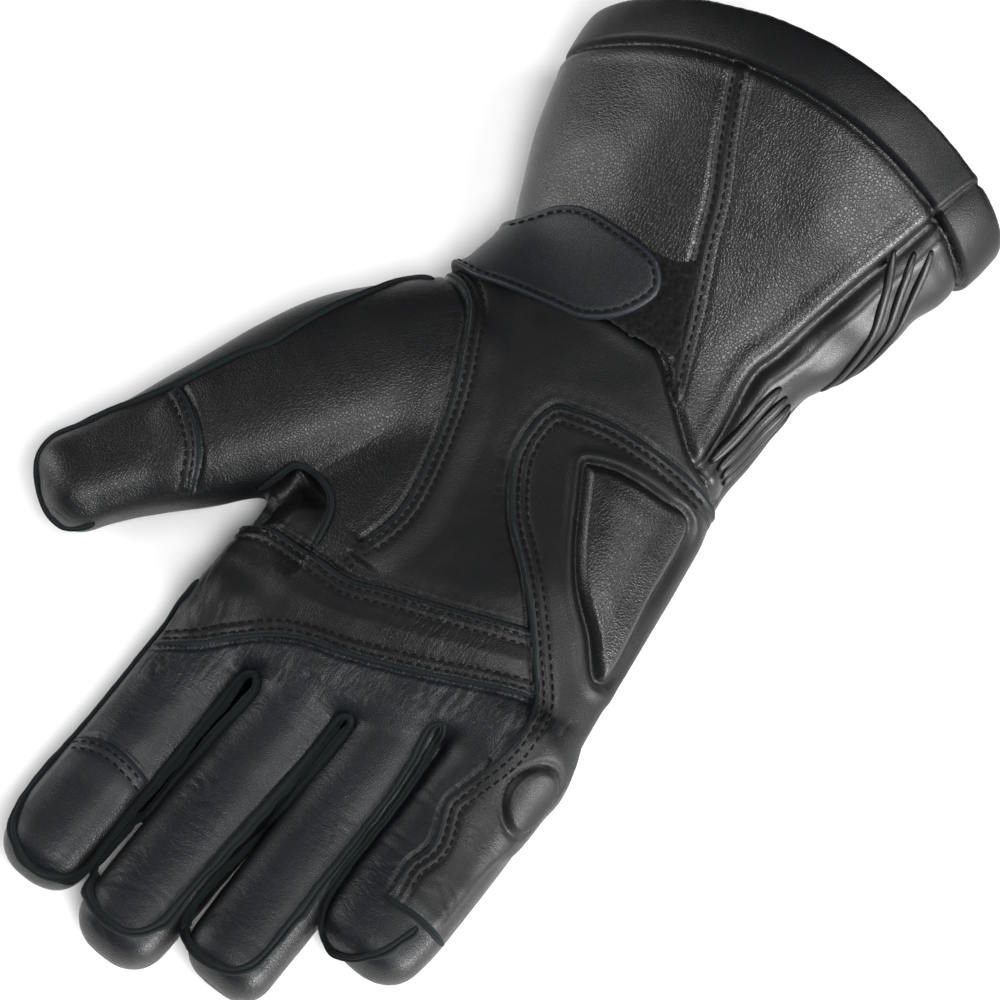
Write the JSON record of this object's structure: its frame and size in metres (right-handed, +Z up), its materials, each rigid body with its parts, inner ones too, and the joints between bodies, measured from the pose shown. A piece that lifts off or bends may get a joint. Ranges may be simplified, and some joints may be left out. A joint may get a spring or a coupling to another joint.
{
  "type": "motorcycle gauntlet",
  "caption": "Leather riding glove for the right hand with a long flared cuff, lying palm up and open at the cuff, with padded palm layers and a wrist strap.",
  "frame": {"origin": "middle of the whole glove, on the surface that it lies on", "axes": "+Y from the fingertips to the mouth of the cuff, +X from the thumb's side to the little finger's side, +Z up out of the palm"},
  "size_m": [0.1916, 0.3346, 0.0853],
  "materials": {
    "smooth_leather": "black smooth cowhide, satin, with soft highlights",
    "grain_leather": "black pebbled cowhide, satin",
    "raw_edge": "raw cut leather edge dyed dark teal black, matt",
    "loop_fabric": "black fuzzy loop fabric, matt"
  },
  "bodies": {
    "root": {"palm_leather": "smooth_leather", "thumb_palm": "grain_leather", "thumb_back": "grain_leather", "side_strip_index_middle": "grain_leather", "side_strip_middle_ring": "grain_leather", "side_strip_ring_little": "grain_leather", "back_leather": "grain_leather", "index_welt": "raw_edge", "middle_welt": "raw_edge", "ring_welt": "raw_edge", "little_welt": "raw_edge", "thumb_welt": "raw_edge", "side_panel": "smooth_leather", "knuckle_strip": "smooth_leather", "index_tip_patch": "smooth_leather", "thumb_tip_patch": "smooth_leather", "heel_pad": "smooth_leather", "knuckle_pad": "smooth_leather", "cuff_front_thumb": "grain_leather", "cuff_front_little": "grain_leather", "cuff_gusset": "grain_leather", "cuff_back": "grain_leather", "hem_band": "smooth_leather", "cuff_seam_strip": "grain_leather", "loop_patch": "loop_fabric", "wrist_strap": "smooth_leather", "gusset_piping_1": "grain_leather", "gusset_piping_2": "grain_leather", "gusset_piping_3": "grain_leather", "shirred_elastic": "smooth_leather"}
  },
  "joints": []
}
